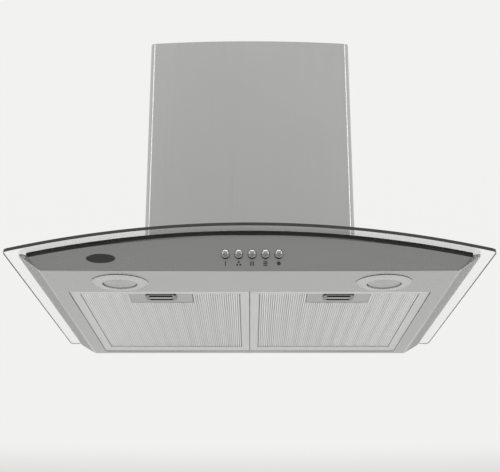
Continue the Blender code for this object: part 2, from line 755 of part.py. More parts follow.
# ---- chimney -----------------------------------------------------------------------------------------
def chimney_path(half, depth, corner, rear, steps=10):
    """Plan of the cover from its rear left return round the bowed front to the rear right one."""
    front = []
    flat = half - corner
    for i in range(steps + 1):
        k = -1 + 2 * i / steps
        front.append((flat * k, -depth - CHIMNEY_BOW * (1 - k * k)))
    left = arc(-flat, -depth + corner, corner, 180, 270, 4)
    right = arc(flat, -depth + corner, corner, 270, 360, 4)
    return [(-half, -rear)] + left[:-1] + front + right[1:] + [(half, -rear)]


def chimney_cover(name, half, depth, corner, low, high, steel):
    sheet = CHIMNEY_SHEET
    back = GAP
    outer = chimney_path(half, depth, corner, back)
    inner = chimney_path(half - sheet, depth - sheet, corner - sheet, back + sheet)
    edge = half - CHIMNEY_RETURN
    heel = [(edge, -back), (edge, -back - sheet)]
    toe = [(-edge, -back - sheet), (-edge, -back)]
    outline = outer + heel + inner[::-1] + toe
    return prism(name, [outline], low, high, steel)


def chimney_parts(steel, galvanised, fastener):
    """Lower cover cut to the glass's bend, the upper cover inside it, and what screws it down."""
    lower = chimney_cover(
        "chimney_lower", CHIMNEY_HALF, CHIMNEY_DEPTH, CHIMNEY_CORNER,
        rise(0.02), rise(CHIMNEY_TOP_RISE), steel,
    )
    depth = 0.06
    foot = bent_sheet(
        "chimney_foot_cutter", -0.2, 0.2, -0.3, 0.05,
        depth, depth + GLASS_THICKNESS + GAP, cutter=True, steps=20,
    )
    boolean(lower, foot)
    inset = UPPER_CLEARANCE + CHIMNEY_SHEET
    upper = chimney_cover(
        "chimney_upper", CHIMNEY_HALF - inset, CHIMNEY_DEPTH - inset, CHIMNEY_CORNER - inset,
        rise(UPPER_BOTTOM_RISE), rise(UPPER_TOP_RISE), steel,
    )
    upper.location.y = -0.0014
    screw_y, screw_rise = -0.060, 0.0585
    for side, sign in (("left", -1), ("right", 1)):
        outward = Matrix.Rotation(math.radians(90) * sign, 4, "Y")
        frame = at(sign * CHIMNEY_HALF, screw_y, rise(screw_rise)) @ outward
        hole = cylinder(f"screw_hole_{side}", 0.0024, -0.01, 0.01, frame=frame, segments=16, cutter=True)
        boolean(lower, hole)
        screw = [
            (0, 0.0026),
            (0.0022, 0.0025),
            (0.0036, 0.0018),
            (0.0042, GAP),
            (0.0019, GAP),
            (0.0019, -0.0120),
            (0, -0.0120),
        ]
        turned(f"chimney_screw_{side}", screw, fastener, frame, segments=20)
        near, far = sign * (CHIMNEY_HALF - CHIMNEY_SHEET - GAP), sign * (BLOWER_HALF + GAP)
        sheet = 0.0015
        thick = sheet * sign
        front, back = screw_y - 0.012, screw_y + 0.012
        clip = [
            (near, front),
            (near - thick, front),
            (near - thick, back - sheet),
            (far + thick, back - sheet),
            (far + thick, front),
            (far, front),
            (far, back),
            (near, back),
        ]
        bracket = prism(f"chimney_bracket_{side}", [clip], rise(0.0535), rise(0.0635), galvanised)
        boolean(bracket, hole)


def hanging_plate(galvanised):
    """Wall plate with two keyholes, and the spacers that keep the blower box off it."""
    keyholes = []
    for sign in (-1, 1):
        x = sign * KEYHOLE_SPACING / 2
        keyholes.append(arc(x, -0.004, 0.0055, 123, 417, 16) + arc(x, 0.012, 0.0030, 0, 180, 6))
    outline = rounded(-PLATE_HALF, -PLATE_HEIGHT / 2, PLATE_HALF, PLATE_HEIGHT / 2, 0.006)
    prism("hanging_plate", [outline, *keyholes], 0, 0.0020, galvanised, upright(0))
    spacer = [(0, 0.0032), (0.0075, 0.0032), (0.0075, 0), (0, 0)]
    for side, sign in (("left", -1), ("right", 1)):
        frame = at(sign * 0.045, -0.0020 - GAP, 0.026) @ Matrix.Rotation(math.radians(90), 4, "X")
        turned(f"hanging_spacer_{side}", spacer, galvanised, frame, segments=16)


# ---- assembly ---------------------------------------------------------------------------------------
def main():
    global PARTS, CUTTERS
    for obj in list(bpy.data.objects):
        bpy.data.objects.remove(obj, do_unlink=True)
    PARTS = bpy.data.collections.new("range_hood")
    CUTTERS = bpy.data.collections.new("cutters")
    bpy.context.scene.collection.children.link(PARTS)
    bpy.context.scene.collection.children.link(CUTTERS)

    steel = make_material("brushed_stainless", (0.60, 0.60, 0.59), 0.38, 1.0)
    galvanised = make_material("galvanised_steel", (0.52, 0.54, 0.56), 0.5, 1.0)
    chrome = make_material("chrome", (0.85, 0.85, 0.86), 0.08, 1.0)
    bezel = make_material("satin_bezel", (0.72, 0.72, 0.71), 0.32, 1.0)
    glass = make_material("clear_glass", (0.92, 0.95, 0.94), 0.02, 0.0, 0.3)
    lens = make_material("frosted_lens", (0.88, 0.88, 0.86), 0.45)
    rubber = make_material("black_rubber", (0.03, 0.03, 0.03), 0.8)
    trim_black = make_material("black_trim", (0.04, 0.04, 0.04), 0.4)
    aluminium = make_material("filter_aluminium", (0.74, 0.74, 0.73), 0.4, 1.0)
    mesh_material = make_material("filter_mesh", (0.66, 0.66, 0.65), 0.5, 1.0)
    plate_material = make_material("latch_plate_metal", (0.62, 0.62, 0.61), 0.45, 1.0)
    latch_material = make_material("latch_plastic", (0.55, 0.55, 0.54), 0.4)
    plastic = make_material("grey_plastic", (0.20, 0.20, 0.21), 0.5)
    black = make_material("black_plastic", (0.05, 0.05, 0.05), 0.5)
    white = make_material("white_enamel", (0.80, 0.80, 0.78), 0.4)
    fastener = make_material("zinc_fastener", (0.66, 0.66, 0.66), 0.35, 1.0)
    spring_steel = make_material("spring_steel", (0.40, 0.40, 0.42), 0.35, 1.0)
    cap_white = make_material("capacitor_case", (0.75, 0.75, 0.72), 0.5)

    lamp_bores = [
        cylinder(
            f"lamp_bore_{sign}", LAMP_HOLE_RADIUS, -0.01, 0.01,
            frame=lamp_frame(sign), segments=40, cutter=True,
        )
        for sign in (-1, 1)
    ]
    button_bores = [
        cylinder(
            f"button_bore_{i}", BUTTON_BORE_RADIUS, -0.0190, 0.006,
            frame=control_frame(button_x(i)), segments=20, cutter=True,
        )
        for i in range(BUTTON_COUNT)
    ]
    canopy_shell(steel, lamp_bores, button_bores)
    canopy_cover(galvanised)
    glass_parts(glass, rubber, trim_black)
    lamp("left", -1, bezel, lens, white)
    lamp("right", 1, bezel, lens, white)
    control_parts(chrome, black, galvanised, button_bores)
    for side, sign in (("left", -1), ("right", 1)):
        grease_filter(side, sign, aluminium, mesh_material, plate_material, latch_material)
    blower_parts(galvanised, plastic, black, spring_steel, cap_white)
    electrics(plastic, black, galvanised)
    chimney_parts(steel, galvanised, fastener)
    hanging_plate(galvanised)


main()
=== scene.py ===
"""Looks of a wall-mounted chimney hood with a bent glass canopy.

Finer shells, rolled filter frames, expanded metal and every finish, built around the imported
model. Metres, in the model's own frame: the wall is y = 0, the hood stands out towards -Y, and
BOTTOM is the underside of its body. "Rise" is height above that.
"""

import json
import math

import bmesh
import bpy
from mathutils import Matrix, Vector


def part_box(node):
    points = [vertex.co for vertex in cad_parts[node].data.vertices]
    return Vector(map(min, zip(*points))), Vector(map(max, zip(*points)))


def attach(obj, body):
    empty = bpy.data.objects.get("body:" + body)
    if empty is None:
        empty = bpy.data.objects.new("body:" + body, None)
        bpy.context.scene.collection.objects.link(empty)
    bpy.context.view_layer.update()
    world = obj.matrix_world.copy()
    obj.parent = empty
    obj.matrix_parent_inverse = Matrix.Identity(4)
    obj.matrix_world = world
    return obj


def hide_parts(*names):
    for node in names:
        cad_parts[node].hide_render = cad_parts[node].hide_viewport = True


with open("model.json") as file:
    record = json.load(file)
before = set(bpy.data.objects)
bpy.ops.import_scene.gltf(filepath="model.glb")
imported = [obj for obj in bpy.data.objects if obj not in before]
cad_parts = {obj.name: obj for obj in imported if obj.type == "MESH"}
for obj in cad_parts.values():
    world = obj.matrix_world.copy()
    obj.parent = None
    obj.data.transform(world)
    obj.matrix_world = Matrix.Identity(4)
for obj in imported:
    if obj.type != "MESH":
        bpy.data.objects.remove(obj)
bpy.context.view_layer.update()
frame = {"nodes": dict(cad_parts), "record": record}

# ---- sizes read from the frame
SHELL_LOW, SHELL_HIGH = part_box("canopy_shell")
GLASS_LOW, GLASS_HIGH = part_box("glass_canopy")
TRIM_LOW, TRIM_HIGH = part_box("glass_trim")
CHIMNEY_LOW, CHIMNEY_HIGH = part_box("chimney_lower")
UPPER_LOW, UPPER_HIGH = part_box("chimney_upper")
SIDES = ("left", "right")
BUTTONS = range(1, 6)

BOTTOM = SHELL_LOW.z
GLASS_THICKNESS = 0.004
CROWN = GLASS_HIGH.z - GLASS_THICKNESS        # underside of the glass on the centre line
SAG = CROWN - GLASS_LOW.z
GLASS_RADIUS = (GLASS_HIGH.x**2 + SAG**2) / (2 * SAG)
BEND_CENTRE = CROWN - GLASS_RADIUS

# ---- sizes of the sheet metal, which the frame's boxes don't give
SHEET = 0.0010
GAP = 0.0004                # between neighbouring pieces
BODY_HALF = 0.2603          # of the underside
BODY_FRONT = -0.4815
PANEL_TOP_HALF = 0.2756     # of the front panel's top edge
PANEL_TOP_FRONT = -0.4910
FOLD = 0.0014               # bend between the front panel and the underside
SIDE_FOLD = 0.0030          # bend between a side wall and the underside
LIP_BAND = 0.0030           # height of the band along the walls' top
LIP_FILLET = 0.0020         # height of the bend below the band
LIP_STEP = 0.0010           # how far the bend steps inwards
OPENING_HALF = 0.2408
OPENING_FRONT = -0.3868
OPENING_BACK = -0.0154
OPENING_FLANGE = 0.0070
NOTCH_HALF = 0.148          # of the cut-out in the glass, behind the flue's front
NOTCH_FRONT = -0.214
LAMP_HOLE_RADIUS = 0.0310
LAMP_LENS_RADIUS = 0.0215
BUTTON_BORE_RADIUS = 0.0038
BUTTON_STEM_RADIUS = 0.0032
BUTTON_DOME = 0.0030
BUTTON_NECK = 0.0083        # from the cap's top to the stem
CHIMNEY_BOW = 0.008
CHIMNEY_CORNER = 0.009
CHIMNEY_RETURN = 0.018
FILTER_BACK = -0.0180
RIM_SIDE, RIM_FRONT, RIM_BACK = 0.0128, 0.0110, 0.0251
RIM_HEIGHT = 0.0080
LATCH_WIDTH, LATCH_DEPTH, LATCH_INSET = 0.041, 0.027, 0.004
LATCH_WINDOW_HALF = LATCH_WIDTH / 2 - 0.0045
LATCH_BAR = (0.0100, 0.0185)        # front and rear edge of the grip, from the latch's front
EASED = 0.0003                      # rounding of the filters' and latches' edges


# ---- mesh helpers
def rise(height):
    """World z of a height above the body's underside."""
    return BOTTOM + height


def glass_z(x, drop=0.0):
    """Height at x of a surface that lies the given drop below the glass's underside."""
    return BEND_CENTRE + math.sqrt((GLASS_RADIUS - drop) ** 2 - x * x)


def box_centre(node):
    low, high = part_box(node)
    return (low + high) / 2


def arc(cx, cy, radius, start, end, steps):
    """Points on an arc between two angles in degrees."""
    angles = [math.radians(start + (end - start) * i / steps) for i in range(steps + 1)]
    return [(cx + radius * math.cos(a), cy + radius * math.sin(a)) for a in angles]


def circle(cx, cy, radius, steps=64):
    return arc(cx, cy, radius, 0, 360, steps)[:-1]


def rectangle(x0, y0, x1, y1):
    return [(x0, y0), (x1, y0), (x1, y1), (x0, y1)]


def rounded(x0, y0, x1, y1, radius, steps=8):
    """Rounded rectangle, counter-clockwise."""
    return (
        arc(x0 + radius, y0 + radius, radius, 180, 270, steps)
        + arc(x1 - radius, y0 + radius, radius, 270, 360, steps)
        + arc(x1 - radius, y1 - radius, radius, 0, 90, steps)
        + arc(x0 + radius, y1 - radius, radius, 90, 180, steps)
    )


def at(x, y, z):
    return Matrix.Translation((x, y, z))


def turn(degrees, axis):
    return Matrix.Rotation(math.radians(degrees), 4, axis)


def loft(bm, rings, around=True, capped=True):
    """Skin over rings of points, each closed on itself if around. Uncapped, the last joins the first."""
    rows = [[bm.verts.new(point) for point in ring] for ring in rings]
    count = len(rows[0])
    pairs = list(zip(rows, rows[1:]))
    if not capped:
        pairs.append((rows[-1], rows[0]))
    for low, high in pairs:
        for i in range(count if around else count - 1):
            j = (i + 1) % count
            bm.faces.new((low[i], low[j], high[j], high[i]))
    if capped and around:
        bm.faces.new(rows[0][::-1])
        bm.faces.new(rows[-1])


def lathe(bm, profile, matrix, segments=64, ring=False):
    """Turn a profile of (radius, z) points about the matrix's Z. Radius 0 is a pole."""
    rows = []
    for radius, z in profile:
        if radius < 1e-7:
            rows.append([bm.verts.new(matrix @ Vector((0, 0, z)))])
            continue
        spots = circle(0, 0, radius, segments)
        rows.append([bm.verts.new(matrix @ Vector((x, y, z))) for x, y in spots])
    pairs = list(zip(rows, rows[1:]))
    if ring:
        pairs.append((rows[-1], rows[0]))
    for upper, lower in pairs:
        for i in range(segments):
            j = (i + 1) % segments
            if len(upper) == 1:
                bm.faces.new((upper[0], lower[i], lower[j]))
            elif len(lower) == 1:
                bm.faces.new((upper[i], lower[0], upper[j]))
            else:
                bm.faces.new((upper[i], lower[i], lower[j], upper[j]))


def object_from(name, bm):
    """Object in the scene from a finished bmesh."""
    bmesh.ops.recalc_face_normals(bm, faces=bm.faces)
    mesh = bpy.data.meshes.new(name)
    bm.to_mesh(mesh)
    bm.free()
    obj = bpy.data.objects.new(name, mesh)
    bpy.context.scene.collection.objects.link(obj)
    return obj


def apply_modifiers(obj):
    depsgraph = bpy.context.evaluated_depsgraph_get()
    mesh = bpy.data.meshes.new_from_object(obj.evaluated_get(depsgraph))
    obj.modifiers.clear()
    obj.data = mesh
    return obj


def boolean(obj, cutter, operation="DIFFERENCE"):
    """Cut an object with another one, which is used up."""
    modifier = obj.modifiers.new("Boolean", "BOOLEAN")
    modifier.operation = operation
    modifier.object = cutter
    apply_modifiers(obj)
    bpy.data.objects.remove(cutter)


def bevel(obj, width, segments=2):
    """Round every edge that turns by more than 40 degrees."""
    modifier = obj.modifiers.new("Bevel", "BEVEL")
    modifier.width = width
    modifier.segments = segments
    modifier.limit_method = "ANGLE"
    modifier.angle_limit = math.radians(40)
    return apply_modifiers(obj)


def prism(name, outlines, low, high, matrix=None, edge=0.0):
    """Flat outlines with holes, filled, extruded from low to high and rounded along their edges."""
    curve = bpy.data.curves.new(name, "CURVE")
    curve.dimensions = "2D"
    curve.fill_mode = "BOTH"
    curve.extrude = (high - low) / 2
    for points in outlines:
        spline = curve.splines.new("POLY")
        spline.points.add(len(points) - 1)
        for point, (x, y) in zip(spline.points, points):
            point.co = (x, y, 0, 1)
        spline.use_cyclic_u = True
    guide = bpy.data.objects.new(name, curve)
    bpy.context.scene.collection.objects.link(guide)
    flat = bpy.data.meshes.new_from_object(guide.evaluated_get(bpy.context.evaluated_depsgraph_get()))
    bpy.data.objects.remove(guide)
    bm = bmesh.new()
    bm.from_mesh(flat)
    bmesh.ops.remove_doubles(bm, verts=bm.verts, dist=1e-6)
    bmesh.ops.translate(bm, vec=(0, 0, (low + high) / 2), verts=bm.verts)
    if matrix is not None:
        bm.transform(matrix)
    obj = object_from(name, bm)
    return bevel(obj, edge) if edge else obj


def joined(name, objects):
    """One object from several, each keeping its own closed surface."""
    bm = bmesh.new()
    for obj in objects:
        obj.data.transform(obj.matrix_world)
        bm.from_mesh(obj.data)
        bpy.data.objects.remove(obj)
    return object_from(name, bm)


def piece(obj, body, materials, replaces=()):
    """Give an object its finish and its place in the model. Edges over 20 degrees stay sharp."""
    mesh = obj.data
    mesh.materials.clear()
    for material in materials:
        mesh.materials.append(material)
    mesh.shade_smooth()
    mesh.set_sharp_from_angle(angle=math.radians(20))
    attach(obj, body)
    if replaces:
        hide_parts(*replaces)
    return obj


# ---- materials
GLOSS_SPREAD = 0.05         # how far a texture moves the roughness to either side


def new_material(name, roughness, metallic=0.0):
    material = bpy.data.materials.new(name)
    material.use_nodes = True
    tree = material.node_tree
    shader = tree.nodes["Principled BSDF"]
    shader.inputs["Roughness"].default_value = roughness
    shader.inputs["Metallic"].default_value = metallic
    return material, tree, shader


def pattern(tree, scale, detail=3.0):
    """Noise over the object's own coordinates, with its frequency per metre along X, Y and Z."""
    coords = tree.nodes.new("ShaderNodeTexCoord")
    mapping = tree.nodes.new("ShaderNodeMapping")
    mapping.inputs["Scale"].default_value = scale
    texture = tree.nodes.new("ShaderNodeTexNoise")
    texture.inputs["Scale"].default_value = 1.0
    texture.inputs["Detail"].default_value = detail
    tree.links.new(coords.outputs["Object"], mapping.inputs["Vector"])
    tree.links.new(mapping.outputs["Vector"], texture.inputs["Vector"])
    return texture.outputs["Fac"]


def colour_between(tree, shader, factor, dark, light, low=0.3, high=0.7):
    ramp = tree.nodes.new("ShaderNodeValToRGB")
    ramp.color_ramp.elements[0].position = low
    ramp.color_ramp.elements[0].color = (*dark, 1)
    ramp.color_ramp.elements[1].position = high
    ramp.color_ramp.elements[1].color = (*light, 1)
    tree.links.new(factor, ramp.inputs["Fac"])
    tree.links.new(ramp.outputs["Color"], shader.inputs["Base Color"])


def gloss_between(tree, shader, factor, low, high):
    """Roughness that follows a texture from low to high."""
    spread = tree.nodes.new("ShaderNodeMapRange")
    spread.inputs["From Min"].default_value = 0.3
    spread.inputs["From Max"].default_value = 0.7
    spread.inputs["To Min"].default_value = low
    spread.inputs["To Max"].default_value = high
    tree.links.new(factor, spread.inputs["Value"])
    tree.links.new(spread.outputs["Result"], shader.inputs["Roughness"])


def relief(tree, shader, factor, strength, distance):
    bump = tree.nodes.new("ShaderNodeBump")
    bump.inputs["Strength"].default_value = strength
    bump.inputs["Distance"].default_value = distance
    tree.links.new(factor, bump.inputs["Height"])
    tree.links.new(bump.outputs["Normal"], shader.inputs["Normal"])


def shade(colour, factor):
    return tuple(channel * factor for channel in colour)


def brushed(name, colour, roughness, grain, streak=0.05, strength=0.12):
    """Brushed metal: fine streaks in tone, gloss and relief, and faint broad clouds in the gloss."""
    material, tree, shader = new_material(name, roughness, 1.0)
    streaks = pattern(tree, grain, 4.0)
    clouds = pattern(tree, (5, 5, 5), 2.0)
    colour_between(tree, shader, streaks, shade(colour, 1 - streak), shade(colour, 1 + streak))
    mean = tree.nodes.new("ShaderNodeMix")
    tree.links.new(streaks, mean.inputs["A"])
    tree.links.new(clouds, mean.inputs["B"])
    gloss_between(tree, shader, mean.outputs["Result"], roughness - GLOSS_SPREAD, roughness + GLOSS_SPREAD)
    relief(tree, shader, streaks, strength, 0.0001)
    return material


def cast(name, colour, roughness, grain, spread, metallic=0.0, strength=0.2, specular=0.5):
    """Moulded or coated surface with an even grain."""
    material, tree, shader = new_material(name, roughness, metallic)
    shader.inputs["Specular IOR Level"].default_value = specular
    speckle = pattern(tree, (grain, grain, grain), 3.0)
    colour_between(tree, shader, speckle, shade(colour, 1 - spread), shade(colour, 1 + spread))
    gloss_between(tree, shader, speckle, roughness - GLOSS_SPREAD, roughness + GLOSS_SPREAD)
    relief(tree, shader, speckle, strength, 0.0002)
    return material


def galvanised_sheet():
    """Zinc with its crystal spangle."""
    material, tree, shader = new_material("galvanised", 0.42, 1.0)
    coords = tree.nodes.new("ShaderNodeTexCoord")
    spangle = tree.nodes.new("ShaderNodeTexVoronoi")
    spangle.inputs["Scale"].default_value = 160.0
    tree.links.new(coords.outputs["Object"], spangle.inputs["Vector"])
    grey = tree.nodes.new("ShaderNodeRGBToBW")
    tree.links.new(spangle.outputs["Color"], grey.inputs["Color"])
    colour_between(tree, shader, grey.outputs["Val"], (0.46, 0.48, 0.50), (0.60, 0.62, 0.64), 0.2, 0.8)
    gloss_between(tree, shader, grey.outputs["Val"], 0.36, 0.48)
    return material


def clear_glass():
    material, tree, shader = new_material("clear_glass", 0.0)
    shader.inputs["Transmission Weight"].default_value = 1.0
    shader.inputs["IOR"].default_value = 1.46
    tint = pattern(tree, (2, 2, 2), 1.0)
    colour_between(tree, shader, tint, (0.975, 0.985, 0.980), (0.985, 0.992, 0.988))
    return material


def pane_edge_painted_shade():
    """Ground and polished front edge, painted dark and opaque: painted shade for the darkness it shows
    because it is seen through the whole pane.
    """
    material, tree, shader = new_material("glass_edge_painted_shade", 0.12)
    wave = pattern(tree, (60, 4, 400), 2.0)
    colour_between(tree, shader, wave, (0.034, 0.037, 0.036), (0.050, 0.054, 0.052))
    return material


def frosted():
    """Frosted plastic of the lamp lenses."""
    material, tree, shader = new_material("frosted_lens", 0.38)
    shader.inputs["IOR"].default_value = 1.49
    grain = pattern(tree, (900, 900, 900), 2.0)
    colour_between(tree, shader, grain, (0.53, 0.53, 0.52), (0.60, 0.60, 0.59))
    relief(tree, shader, grain, 0.25, 0.0001)
    return material


STAINLESS = brushed("stainless_body", (0.48, 0.48, 0.472), 0.25, (7, 1100, 1100), 0.02, 0.03)
# Lighter copy of the body's stainless: a painted highlight along the folds below the side walls.
FOLD_PAINTED_HIGHLIGHT = brushed("fold_painted_highlight", (0.72, 0.72, 0.71), 0.25, (1100, 7, 1100), 0.02, 0.03)
# Matt copy of the body's metal that stays light where the stainless would reflect dark: painted light on the
# corner faces at the panel's ends.
CORNER_PAINTED_LIGHT = cast("corner_painted_light", (0.40, 0.40, 0.395), 0.55, 500, 0.05, strength=0.1)
FLUE = brushed("stainless_flue", (0.525, 0.525, 0.515), 0.22, (1100, 1100, 5), 0.02, 0.03)
GALVANISED = galvanised_sheet()
ALUMINIUM = brushed("filter_aluminium", (0.68, 0.68, 0.67), 0.33, (300, 12, 300), 0.04)
MESH_METAL = cast("mesh_aluminium", (0.97, 0.97, 0.96), 0.36, 500, 0.05, metallic=1.0)
PAD_METAL = cast("pad_aluminium", (0.74, 0.74, 0.73), 0.42, 350, 0.07, metallic=1.0)
PLATE_METAL = brushed("latch_plate_metal", (0.47, 0.47, 0.46), 0.36, (10, 700, 700), 0.03, 0.05)
LATCH_METAL = brushed("latch_metal", (0.40, 0.40, 0.39), 0.30, (10, 600, 600), 0.03, 0.05)
LATCH_FRAME = cast("latch_frame", (0.26, 0.26, 0.26), 0.40, 450, 0.08, strength=0.1)
CHROME = cast("chrome", (0.40, 0.40, 0.405), 0.07, 60, 0.02, metallic=1.0, strength=0.02)
# Dark copy of the chrome for the buttons' necks and stems: painted shade under the caps.
NECK_PAINTED_SHADE = cast("button_neck_painted_shade", (0.14, 0.14, 0.14), 0.20, 300, 0.10, metallic=1.0, strength=0.05)
BEZEL = cast("satin_bezel", (0.60, 0.60, 0.59), 0.26, 300, 0.02, metallic=1.0, strength=0.02)
LENS = frosted()
GLASS = clear_glass()
EDGE_PAINTED_SHADE = pane_edge_painted_shade()
TRIM = cast("black_trim", (0.022, 0.022, 0.022), 0.50, 400, 0.15, strength=0.15, specular=0.25)
RUBBER = cast("black_rubber", (0.025, 0.025, 0.025), 0.75, 500, 0.25, strength=0.4)
GREY_PLASTIC = cast("grey_plastic", (0.20, 0.20, 0.21), 0.48, 450, 0.10)
BLACK_PLASTIC = cast("black_plastic", (0.045, 0.045, 0.046), 0.46, 450, 0.15)
ENAMEL = cast("white_enamel", (0.78, 0.78, 0.76), 0.36, 250, 0.03)
PLAIN_STEEL = brushed("plain_steel", (0.45, 0.45, 0.47), 0.30, (60, 900, 900), 0.08)
ZINC = cast("zinc_fastener", (0.66, 0.66, 0.68), 0.32, 600, 0.06, metallic=1.0)
LED = cast("led_board", (0.82, 0.80, 0.66), 0.40, 700, 0.12)
PRINT = cast("panel_print", (0.050, 0.050, 0.050), 0.42, 500, 0.12)

SLOT_FINISHES = {
    "brushed_stainless": STAINLESS,
    "galvanised_steel": GALVANISED,
    "clear_glass": GLASS,
    "black_trim": TRIM,
    "black_rubber": RUBBER,
    "satin_bezel": BEZEL,
    "frosted_lens": LENS,
    "led_board": LED,
    "white_enamel": ENAMEL,
    "chrome": CHROME,
    "filter_frame": ALUMINIUM,
    "filter_mesh": MESH_METAL,
    "latch_plate": PLATE_METAL,
    "latch": LATCH_METAL,
    "grey_plastic": GREY_PLASTIC,
    "black_plastic": BLACK_PLASTIC,
    "plain_steel": PLAIN_STEEL,
    "zinc_fastener": ZINC,
}


def finish_nodes():
    """Every CAD node takes the finish of its material slot in the record."""
    for subpart in frame["record"]["subparts"]:
        for slot in frame["nodes"][subpart["node"]].material_slots:
            slot.material = SLOT_FINISHES[subpart["material_slot"]]


# ---- body of the canopy
def ring_loop(half, front, back, radius, front_half=None, front_line=None):
    """Loop round the body, anticlockwise from the front left, with rounded corners."""
    flat = half - radius - 0.0005       # ends just short of the corner arcs
    front_half = front_half or flat
    front_line = front_line or front
    steps = 48
    line = [-1 + 2 * i / steps for i in range(steps + 1)]
    depth = back - front - 2 * radius
    flanks = [front + radius + depth * t for t in (0.002, 0.1, 0.3, 0.5, 0.7, 0.9, 0.998)]
    loop = [(front_half * k, front_line) for k in line]
    loop += arc(half - radius, front + radius, radius, 270, 360, 8)
    loop += [(half, y) for y in flanks]
    loop += arc(half - radius, back - radius, radius, 0, 90, 4)
    loop += [(flat * k, back) for k in line[::-1]]
    loop += arc(-half + radius, back - radius, radius, 90, 180, 4)
    loop += [(-half, y) for y in flanks[::-1]]
    loop += arc(-half + radius, front + radius, radius, 180, 270, 8)
    return loop


def shell_profile(top, bottom, opening):
    """Points down the wall, round the fold, across the underside and up the opening's flange."""
    crest = Vector((*top, glass_z(top[0]) - GAP))
    foot = Vector((*bottom, BOTTOM))
    inward = (Vector((*bottom, 0)) - Vector((*top, 0))).normalized()
    sideways = abs(inward.x)
    lip = 1 - 0.5 * sideways        # half as deep on the side walls
    swell = 0.001
    band = crest - Vector((0, 0, LIP_BAND * lip))
    neck = band - Vector((0, 0, LIP_FILLET * lip)) + inward * LIP_STEP * lip
    necks = [band.lerp(neck, t) + inward * swell * t * (1 - t) for t in (0, 0.25, 0.5, 0.75, 1)]
    wall = (neck - foot).normalized()
    edge = Vector((*opening, BOTTOM))
    deck = (edge - foot).normalized()
    fold_size = FOLD + (SIDE_FOLD - FOLD) * sideways
    start, end = foot + wall * fold_size, foot + deck * fold_size
    bends = [i / 7 for i in range(8)]
    fold = [start.lerp(foot, t).lerp(foot.lerp(end, t), t) for t in bends]
    rim_bend = 0.0012
    brim = edge - deck * rim_bend
    drop = edge + Vector((0, 0, rim_bend))
    rim = [brim.lerp(edge, t).lerp(edge.lerp(drop, t), t) for t in (0, 0.33, 0.67, 1)]
    hem = edge + Vector((0, 0, OPENING_FLANGE))
    guard = 0.0006      # keeps the shading of each bend to the bend
    wall_flat = [neck - wall * guard, start + wall * guard]
    deck_flat = [end + deck * guard, brim - deck * guard]
    return [crest, *necks, *wall_flat, *fold, *deck_flat, *rim, hem]


def cut_body_holes(shell):
    """Holes for the two lamps and the five buttons."""
    for side in SIDES:
        centre = box_centre(f"lamp_bezel_{side}")
        hole = circle(centre.x, centre.y, LAMP_HOLE_RADIUS)
        boolean(shell, prism("lamp_hole", [hole], rise(-0.01), rise(0.01)))
    for number in BUTTONS:
        centre = box_centre(f"button_{number}")
        bore = circle(0, 0, BUTTON_BORE_RADIUS, 32)
        outward = at(centre.x, BODY_FRONT, centre.z) @ turn(90, "X")
        boolean(shell, prism("button_hole", [bore], -0.01, 0.02, outward))


def paint_fold_and_corner_light(shell):
    """Painted highlight on the folds below the side walls, and painted light on the corner faces at the
    panel's two ends: lighter copies of the body's metal.
    """
    for face in shell.data.polygons:
        normal, spot = face.normal, face.center
        # Fold faces take the lighter copy of the metal, a painted highlight.
        if abs(normal.x) > 0.10 and -0.995 < normal.z < -0.84 and spot.z < rise(SIDE_FOLD):
            face.material_index = 1
        # Corner faces at the panel's ends take the matt copy, painted light.
        elif spot.y < BODY_FRONT and normal.y < 0 and normal.x * spot.x < -0.1 * abs(spot.x):
            face.material_index = 2


def canopy_body():
    corner, opening_corner = 0.0015, 0.002
    tops = ring_loop(SHELL_HIGH.x, SHELL_LOW.y, SHELL_HIGH.y, corner, PANEL_TOP_HALF, PANEL_TOP_FRONT)
    bottoms = ring_loop(BODY_HALF, BODY_FRONT, SHELL_HIGH.y, corner)
    openings = ring_loop(OPENING_HALF, OPENING_FRONT, OPENING_BACK, opening_corner)
    profiles = [shell_profile(*station) for station in zip(tops, bottoms, openings)]
    bm = bmesh.new()
    loft(bm, profiles, around=False, capped=False)
    shell = object_from("canopy_body", bm)
    solidify = shell.modifiers.new("Sheet", "SOLIDIFY")
    solidify.thickness = SHEET
    solidify.offset = -1
    apply_modifiers(shell)
    cut_body_holes(shell)
    # The second and third finishes are a painted highlight on the folds and painted light on the corners.
    finishes = [STAINLESS, FOLD_PAINTED_HIGHLIGHT, CORNER_PAINTED_LIGHT]
    piece(shell, "canopy", finishes, ["canopy_shell"])
    paint_fold_and_corner_light(shell)


# ---- glass
def bent_sheet(name, x0, x1, front, back, drop, thickness, steps=96):
    """Sheet concentric with the glass, its underside the given drop below the glass's."""
    bm = bmesh.new()
    rings = []
    for i in range(steps + 1):
        x = x0 + (x1 - x0) * i / steps
        low, high = glass_z(x, drop), glass_z(x, drop - thickness)
        rings.append([(x, front, low), (x, back, low), (x, back, high), (x, front, high)])
    loft(bm, rings)
    return object_from(name, bm)


